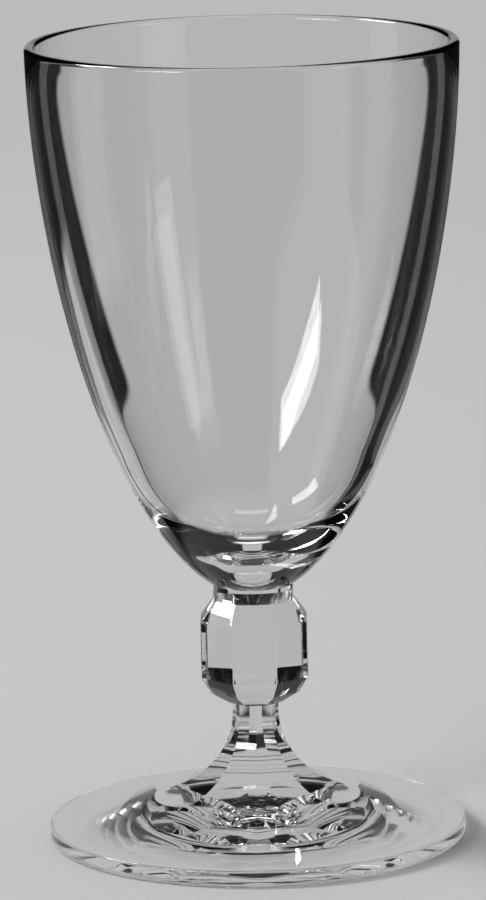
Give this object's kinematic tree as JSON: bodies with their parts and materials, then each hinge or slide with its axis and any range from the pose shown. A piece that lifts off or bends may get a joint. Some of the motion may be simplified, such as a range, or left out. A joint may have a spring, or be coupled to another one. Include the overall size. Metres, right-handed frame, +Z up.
{
  "type": "sherry glass",
  "caption": "Footed glass for sherry: a deep funnel bowl on a short cut stem with a faceted knop and a round foot.",
  "frame": {"origin": "on the axis of the glass, on the plane that the foot stands on", "axes": "+Z up along the axis of the glass; a corner between two flats of its stem faces -Y, and so does a flat of its knop"},
  "size_m": [0.064, 0.064, 0.1199],
  "materials": {
    "clear_glass": "polished clear glass"
  },
  "bodies": {
    "root": {"sherry_glass": "clear_glass"}
  },
  "joints": []
}
